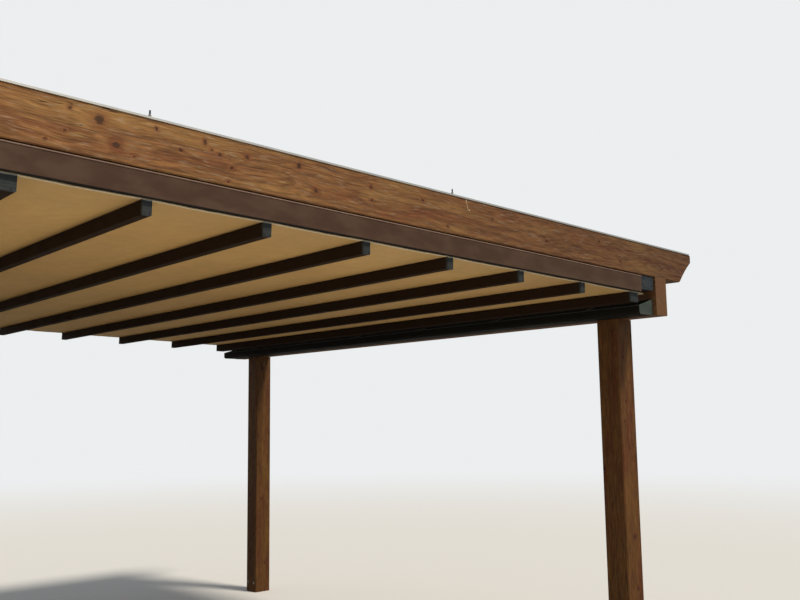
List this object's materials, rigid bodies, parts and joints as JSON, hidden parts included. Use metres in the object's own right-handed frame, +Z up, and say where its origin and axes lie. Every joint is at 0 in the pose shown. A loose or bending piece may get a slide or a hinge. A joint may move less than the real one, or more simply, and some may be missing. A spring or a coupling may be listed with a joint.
{
  "type": "wooden pergola",
  "caption": "Free-standing timber pergola with shaped rafter tails, guide rails, slung cross bars, a stretched fabric roof and a gutter.",
  "frame": {"origin": "on the ground, below the middle of the pergola's box", "axes": "+Z up, +Y from the garden side with the gutter (front) to the house side (back), +X from the left rafter to the right one"},
  "size_m": [4.927, 4.96, 2.817],
  "materials": {
    "timber_posts": "stained softwood, satin",
    "timber_beams": "stained softwood, satin",
    "timber_rafters": "stained knotty softwood, satin",
    "flashing_metal": "pale painted sheet, satin",
    "guide_aluminium": "powder coated, satin",
    "end_housing_metal": "cast and painted, satin",
    "carriage_plastic": "moulded",
    "bar_aluminium": "powder coated, satin",
    "cap_plastic": "moulded, ribbed",
    "canopy_fabric": "coated woven polyester, matt",
    "gutter_aluminium": "powder coated, satin",
    "gutter_end_metal": "painted plate, satin",
    "shaft_steel": "galvanised tube",
    "motor_tube_metal": "powder coated, satin"
  },
  "bodies": {
    "root": {"post_front_left": "timber_posts", "post_back_left": "timber_posts", "post_front_right": "timber_posts", "post_back_right": "timber_posts", "beam_front": "timber_beams", "beam_back": "timber_beams", "rafter_left": "timber_rafters", "flashing_left": "flashing_metal", "rafter_right": "timber_rafters", "flashing_right": "flashing_metal", "guide_rail_left": "guide_aluminium", "guide_end_front_left": "end_housing_metal", "guide_end_back_left": "end_housing_metal", "carriages_left": "carriage_plastic", "guide_rail_right": "guide_aluminium", "guide_end_front_right": "end_housing_metal", "guide_end_back_right": "end_housing_metal", "carriages_right": "carriage_plastic", "bar_1": "bar_aluminium", "bar_2": "bar_aluminium", "bar_3": "bar_aluminium", "bar_4": "bar_aluminium", "bar_5": "bar_aluminium", "bar_6": "bar_aluminium", "bar_terminal": "bar_aluminium", "bar_head": "bar_aluminium", "bar_caps_left": "cap_plastic", "bar_caps_right": "cap_plastic", "canopy": "canopy_fabric", "gutter": "gutter_aluminium", "gutter_end_left": "gutter_end_metal", "gutter_end_right": "gutter_end_metal", "drive_shaft": "shaft_steel", "drive_motor": "motor_tube_metal"}
  },
  "joints": []
}
